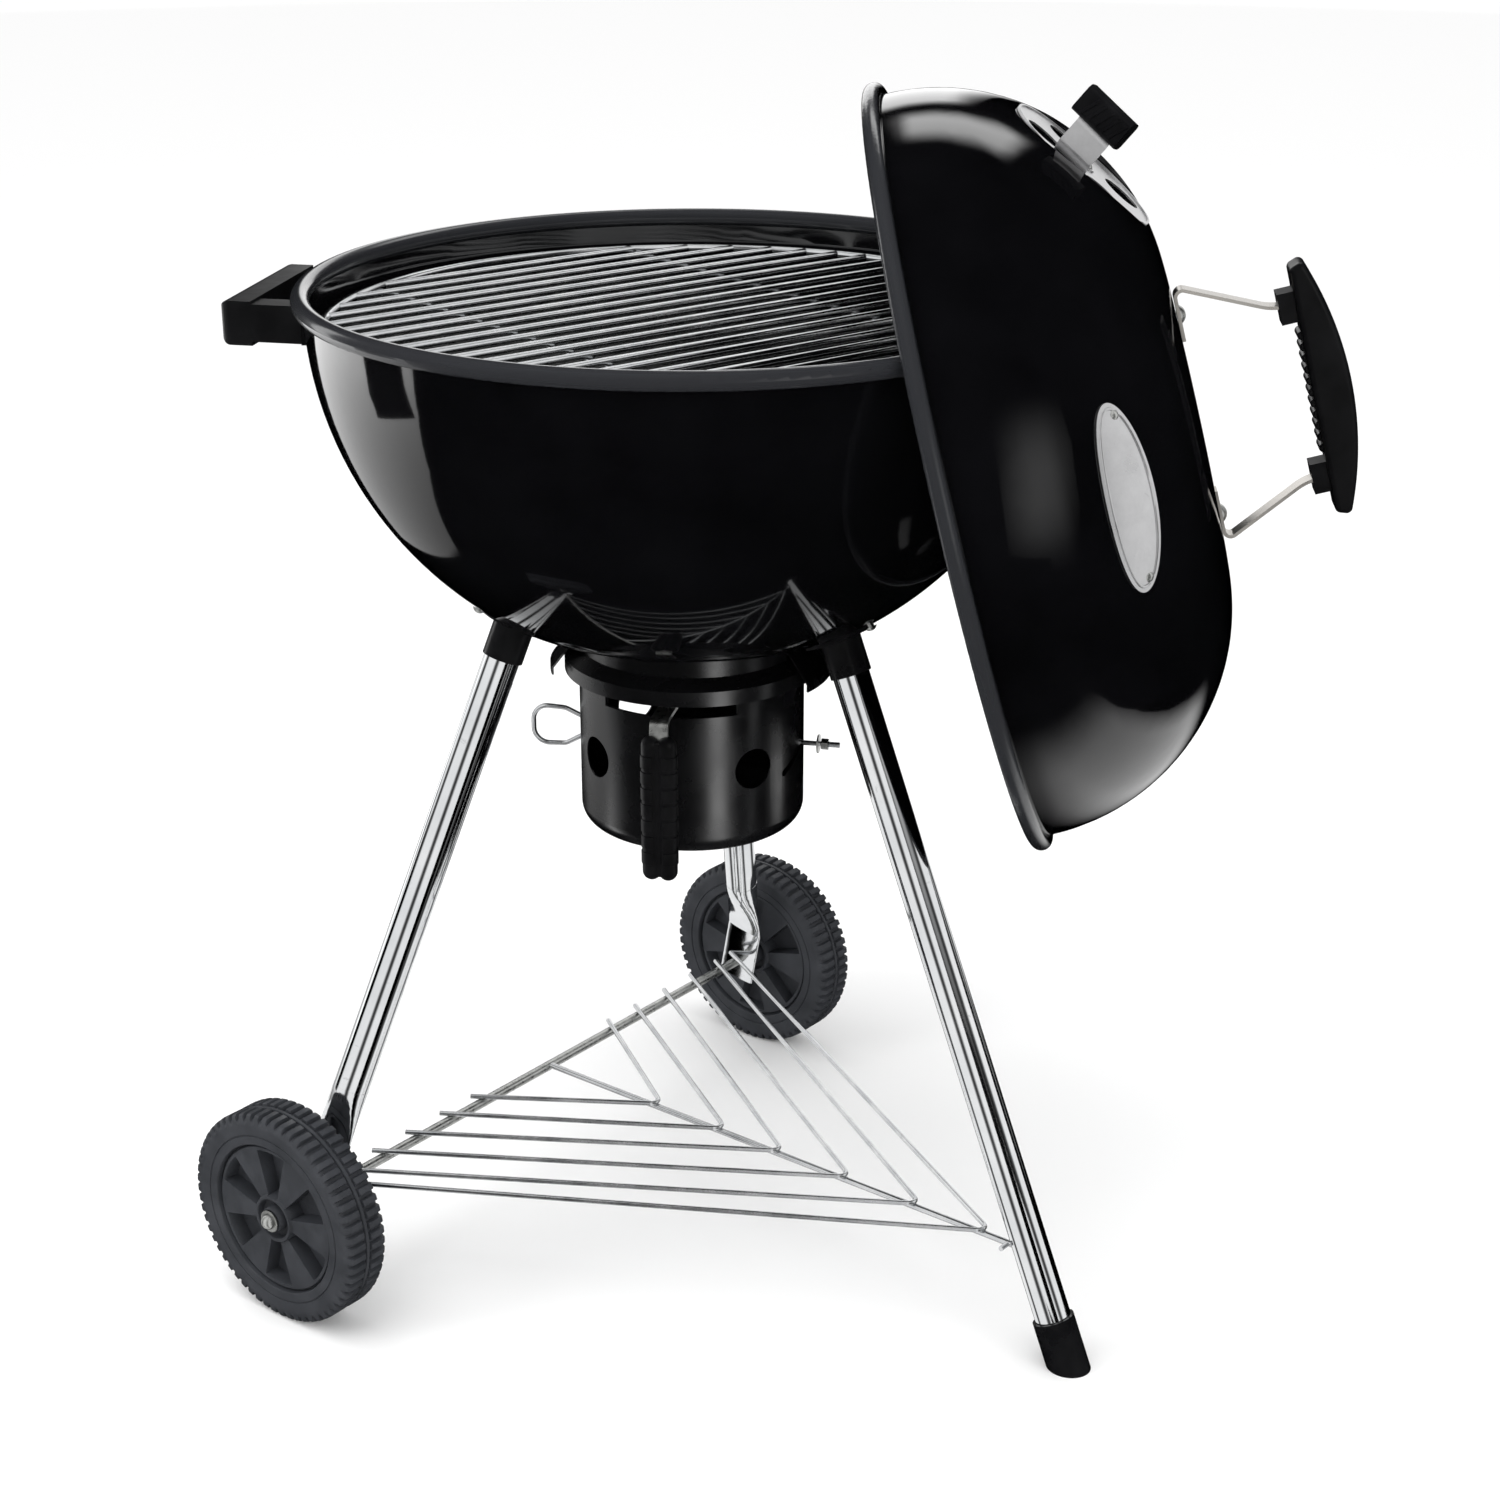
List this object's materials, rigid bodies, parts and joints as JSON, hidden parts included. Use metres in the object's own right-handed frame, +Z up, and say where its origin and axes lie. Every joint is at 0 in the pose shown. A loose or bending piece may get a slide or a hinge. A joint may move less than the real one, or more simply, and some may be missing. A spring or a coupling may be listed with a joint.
{
  "type": "kettle charcoal grill",
  "caption": "Round-bowl charcoal grill on tube legs with wheels, ash can, wire rack and a domed lid that hangs from the bowl's handle.",
  "frame": {"origin": "on the floor, straight below the axis of the bowl", "axes": "+Z up along the bowl's axis, +X towards the side where the lid hangs, -Y is the front with the sweeper lever"},
  "size_m": [0.8549, 0.6809, 0.9382],
  "materials": {
    "black_enamel": "glossy porcelain enamel on steel",
    "black_coated_steel": "satin heat-proof paint on steel",
    "chrome_tube": "polished chrome plate on steel tube",
    "chrome_wire": "chrome plate on steel wire",
    "zinc_steel": "bright zinc plate",
    "stainless_strap": "brushed stainless strip",
    "aluminium": "satin stamped aluminium",
    "black_plastic": "fine-grained heat-proof moulding",
    "wheel_plastic": "satin moulded plastic"
  },
  "bodies": {
    "frame": {"bowl": "black_enamel", "foot_leg_socket": "black_plastic", "left_leg_socket": "black_plastic", "rear_leg_socket": "black_plastic", "socket_screws": "zinc_steel", "rack": "chrome_wire", "foot_leg": "chrome_tube", "left_wheel_leg": "chrome_tube", "rear_wheel_leg": "chrome_tube", "foot_cap": "black_plastic", "axle": "zinc_steel", "axle_spacers": "zinc_steel", "axle_washers": "zinc_steel", "axle_end_nuts": "zinc_steel", "collar": "black_coated_steel", "charcoal_grate_tabs": "black_coated_steel", "cooking_grate_tabs": "black_coated_steel", "left_bowl_handle": "black_plastic", "left_handle_bracket": "black_coated_steel", "left_handle_screws": "zinc_steel", "right_bowl_handle": "black_plastic", "right_handle_bracket": "black_coated_steel", "right_handle_screws": "zinc_steel"},
    "left_wheel": {"left_wheel": "wheel_plastic"},
    "rear_wheel": {"rear_wheel": "wheel_plastic"},
    "ash_can": {"ash_can": "black_coated_steel", "cross_rod": "chrome_wire", "cross_rod_washer": "zinc_steel", "cross_rod_nut": "zinc_steel"},
    "sweeper": {"sweeper_blades": "aluminium", "sweeper_shaft": "zinc_steel", "sweeper_lever": "zinc_steel", "sweeper_grip": "black_plastic"},
    "charcoal_grate": {"charcoal_grate": "zinc_steel"},
    "cooking_grate": {"cooking_grate": "chrome_wire"},
    "lid": {"lid": "black_enamel", "lid_hook": "stainless_strap", "badge_plate": "aluminium", "badge_rivets": "zinc_steel", "upper_handle_strap": "stainless_strap", "lower_handle_strap": "stainless_strap", "lid_handle_grip": "black_plastic", "lid_handle_screws": "zinc_steel", "lid_handle_nuts": "zinc_steel", "damper_rivet": "zinc_steel"},
    "damper": {"damper_disc": "aluminium", "damper_grip": "black_plastic"}
  },
  "joints": [
    {"name": "left_wheel_spin", "type": "hinge", "parent": "frame", "child": "left_wheel", "pos_m": [-0.27846, -0.20161, 0.0874], "axis": [0.4462, 0.8949, 0], "continuous": true},
    {"name": "rear_wheel_spin", "type": "hinge", "parent": "frame", "child": "rear_wheel", "pos_m": [-0.01029, 0.33625, 0.0874], "axis": [0.4462, 0.8949, 0], "continuous": true},
    {"name": "ash_can_pull", "type": "slide", "parent": "frame", "child": "ash_can", "axis": [0, 0, -1], "range_m": [0, 0.15]},
    {"name": "sweeper_turn", "type": "hinge", "parent": "frame", "child": "sweeper", "pos_m": [0, 0, 0.4815], "axis": [0, 0, 1], "range_deg": [-28, 28]},
    {"name": "charcoal_grate_lift", "type": "slide", "parent": "frame", "child": "charcoal_grate", "axis": [0, 0, 1], "range_m": [0, 0.1]},
    {"name": "cooking_grate_lift", "type": "slide", "parent": "frame", "child": "cooking_grate", "axis": [0, 0, 1], "range_m": [0, 0.035]},
    {"name": "lid_lift", "type": "slide", "parent": "frame", "child": "lid", "axis": [0.4959, 0.064, 0.866], "range_m": [0, 0.4]},
    {"name": "damper_turn", "type": "hinge", "parent": "lid", "child": "damper", "pos_m": [0.28208, 0.02301, 0.87462], "axis": [0.6401, 0.0448, 0.767], "range_deg": [0, 45]}
  ]
}
